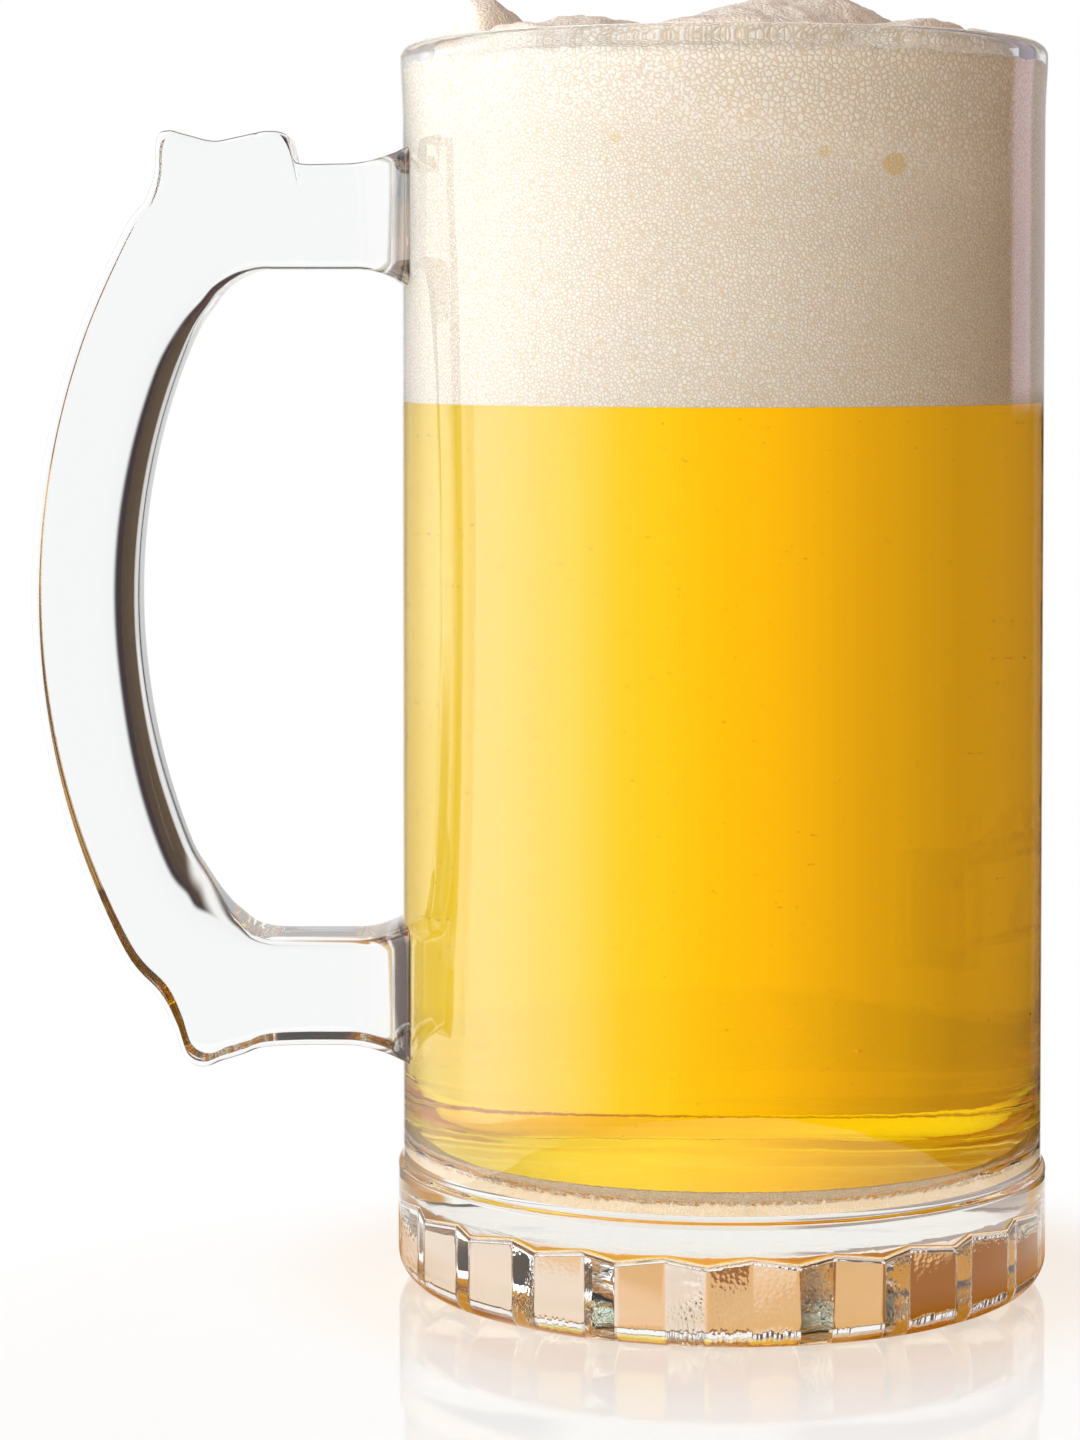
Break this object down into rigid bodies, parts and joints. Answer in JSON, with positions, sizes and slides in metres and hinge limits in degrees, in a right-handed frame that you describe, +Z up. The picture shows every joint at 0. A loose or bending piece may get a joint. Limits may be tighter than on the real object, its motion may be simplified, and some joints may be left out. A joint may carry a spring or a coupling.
{
  "type": "beer mug",
  "caption": "Clear glass beer mug with a thick fluted base and a fused glass handle, filled with golden beer under a head of foam.",
  "frame": {"origin": "centre of the ring that the mug stands on, on the cup's axis", "axes": "+Z up along the cup's axis, -X towards the handle, -Y towards the viewer"},
  "size_m": [0.1263, 0.0812, 0.16],
  "materials": {
    "body_glass": "polished",
    "handle_glass": "polished",
    "beer": "gloss",
    "foam": "matte"
  },
  "bodies": {
    "root": {"glass_body": "body_glass", "handle": "handle_glass", "beer": "beer", "foam_head": "foam"}
  },
  "joints": []
}
